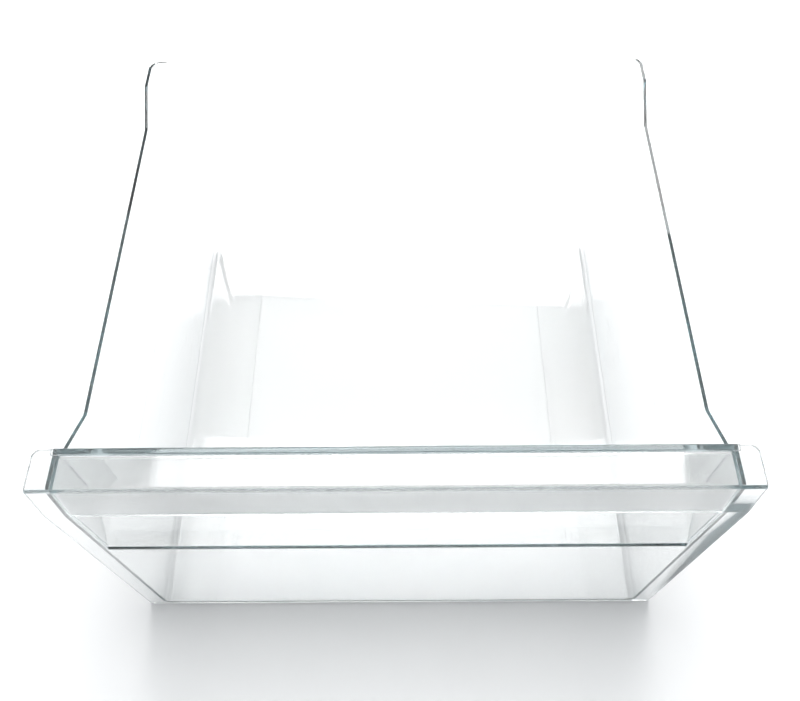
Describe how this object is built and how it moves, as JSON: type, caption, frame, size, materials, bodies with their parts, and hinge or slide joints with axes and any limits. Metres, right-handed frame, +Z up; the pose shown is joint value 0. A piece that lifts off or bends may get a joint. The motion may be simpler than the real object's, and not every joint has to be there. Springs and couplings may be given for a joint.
{
  "type": "freezer drawer",
  "caption": "Clear plastic freezer drawer: a deep tapered tub with raised rear rims and a front panel with a full-width scooped grip recess under an overhanging ledge.",
  "frame": {"origin": "middle of the drawer's footprint, at the height of the runners' undersides", "axes": "+X across the drawer, to the right of a person who faces its front; +Y from the front to the back; +Z up"},
  "size_m": [0.455, 0.4182, 0.27],
  "materials": {
    "tub_plastic": "clear, glossy moulded plastic with a faint cyan tint",
    "front_plastic": "clear, glossy moulded plastic with a faint cyan tint, frosted on the lip of the grip"
  },
  "bodies": {
    "root": {"tub": "tub_plastic", "front_panel": "front_plastic"}
  },
  "joints": []
}
